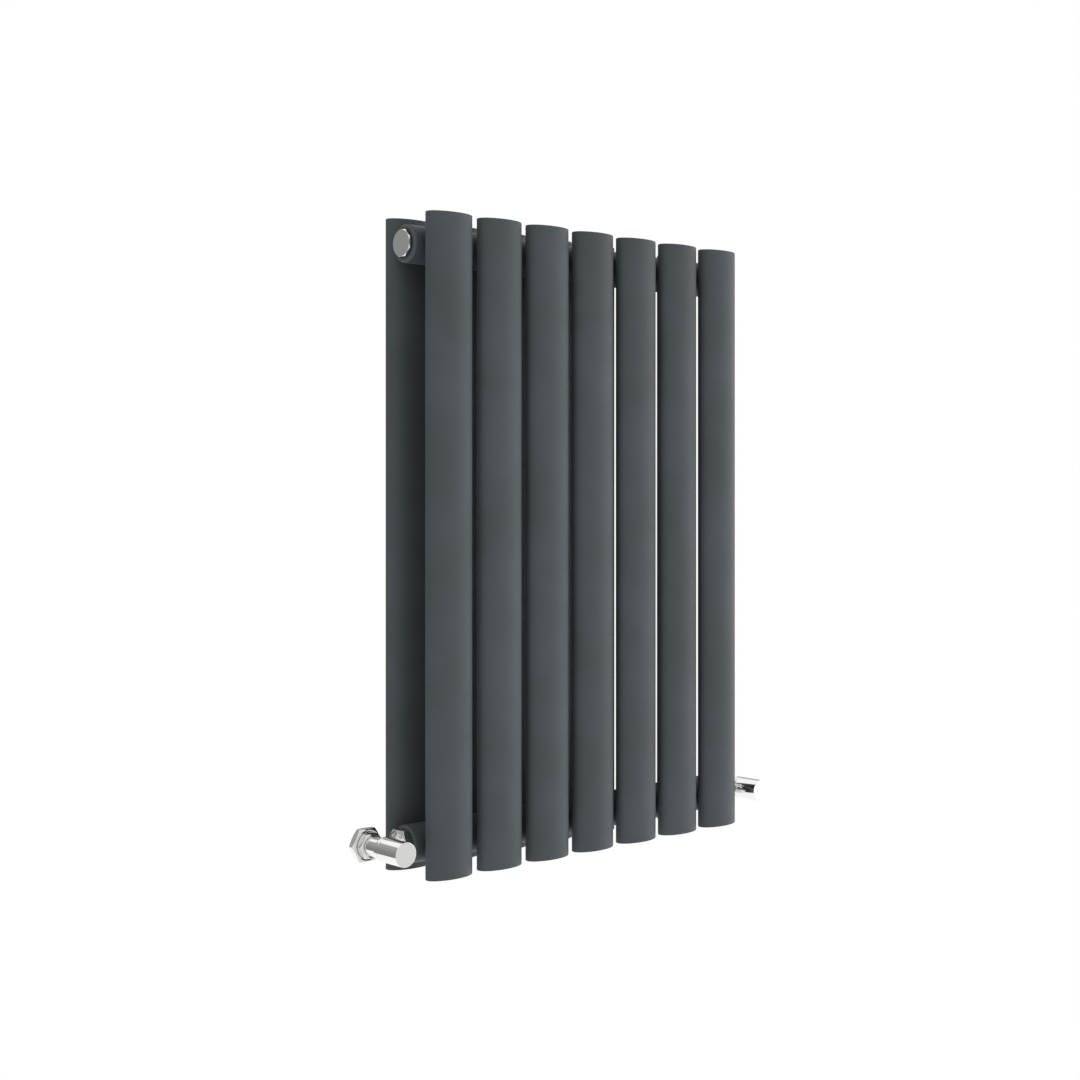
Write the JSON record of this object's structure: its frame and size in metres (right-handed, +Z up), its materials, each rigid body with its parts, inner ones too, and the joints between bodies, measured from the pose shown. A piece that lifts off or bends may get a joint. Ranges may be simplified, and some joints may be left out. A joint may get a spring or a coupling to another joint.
{
  "type": "column radiator with valves",
  "caption": "Oval-column wall radiator in a double row, with angled handwheel and lockshield valves, blanking and air-vent plugs and wall brackets.",
  "frame": {"origin": "halfway between the two valve axes in X, halfway between the room face and the wall in Y, level with the column bottoms", "axes": "+X to the right seen from the room, +Y towards the wall, +Z up along the columns"},
  "size_m": [0.503, 0.115, 0.6],
  "materials": {
    "anthracite_steel": "matte anthracite powder coat",
    "chrome": "polished",
    "brass": "machined",
    "rubber": "matte black",
    "grey_plastic": "moulded, matte"
  },
  "bodies": {
    "radiator": {"front_column_1": "anthracite_steel", "front_column_2": "anthracite_steel", "front_column_3": "anthracite_steel", "front_column_4": "anthracite_steel", "front_column_5": "anthracite_steel", "front_column_6": "anthracite_steel", "front_column_7": "anthracite_steel", "rear_column_1": "anthracite_steel", "rear_column_2": "anthracite_steel", "rear_column_3": "anthracite_steel", "rear_column_4": "anthracite_steel", "rear_column_5": "anthracite_steel", "rear_column_6": "anthracite_steel", "rear_column_7": "anthracite_steel", "bottom_manifold": "anthracite_steel", "bottom_left_bush": "anthracite_steel", "bottom_right_bush": "anthracite_steel", "top_manifold": "anthracite_steel", "top_left_bush": "anthracite_steel", "top_right_bush": "anthracite_steel", "blanking_plug": "chrome", "blanking_plug_seal": "rubber", "air_vent_plug": "chrome", "air_vent_seal": "rubber", "left_valve_body": "chrome", "left_bonnet": "brass", "left_spindle_o_ring": "rubber", "left_union_tail": "chrome", "left_union_nut": "chrome", "left_inlet_adaptor": "chrome", "left_compression_nut": "chrome", "left_olive": "brass", "right_valve_body": "chrome", "right_bonnet": "brass", "right_spindle_o_ring": "rubber", "right_union_tail": "chrome", "right_union_nut": "chrome", "right_inlet_adaptor": "chrome", "right_compression_nut": "chrome", "right_olive": "brass", "top_left_bracket": "anthracite_steel", "top_left_liner": "grey_plastic", "top_right_bracket": "anthracite_steel", "top_right_liner": "grey_plastic", "bottom_left_bracket": "anthracite_steel", "bottom_left_liner": "grey_plastic", "bottom_right_bracket": "anthracite_steel", "bottom_right_liner": "grey_plastic"},
    "handwheel": {"handwheel_shell": "chrome", "handwheel_insert": "grey_plastic", "left_spindle": "brass"},
    "left_disc": {"left_valve_disc": "brass", "left_valve_washer": "rubber"},
    "lockshield_cap": {"lockshield_cap_shell": "chrome", "lockshield_cap_insert": "grey_plastic"},
    "lockshield_spindle": {"right_spindle": "brass"},
    "right_disc": {"right_valve_disc": "brass", "right_valve_washer": "rubber"},
    "bleed_screw": {"bleed_screw": "brass"}
  },
  "joints": [
    {"name": "handwheel_turn", "type": "hinge", "parent": "radiator", "child": "handwheel", "pos_m": [-0.23445, -0.0148, 0.0285], "axis": [0, -1, 0], "range_deg": [0, 720]},
    {"name": "left_disc_lift", "type": "slide", "parent": "radiator", "child": "left_disc", "axis": [0, -1, 0], "range_m": [0, 0.003]},
    {"name": "lockshield_cap_pull", "type": "slide", "parent": "radiator", "child": "lockshield_cap", "axis": [0, -1, 0], "range_m": [0, 0.03]},
    {"name": "lockshield_turn", "type": "hinge", "parent": "radiator", "child": "lockshield_spindle", "pos_m": [0.23445, -0.0148, 0.0285], "axis": [0, -1, 0], "range_deg": [0, 720]},
    {"name": "right_disc_lift", "type": "slide", "parent": "radiator", "child": "right_disc", "axis": [0, -1, 0], "range_m": [0, 0.003]},
    {"name": "bleed_screw_turn", "type": "hinge", "parent": "radiator", "child": "bleed_screw", "pos_m": [0.20085, -0.0148, 0.5735], "axis": [1, 0, 0], "range_deg": [0, 360]}
  ],
  "couplings": [
    {"joint": "handwheel_turn", "follows": "left_disc_lift", "rad_per_m": 4188.8},
    {"joint": "lockshield_turn", "follows": "right_disc_lift", "rad_per_m": 4188.8}
  ]
}
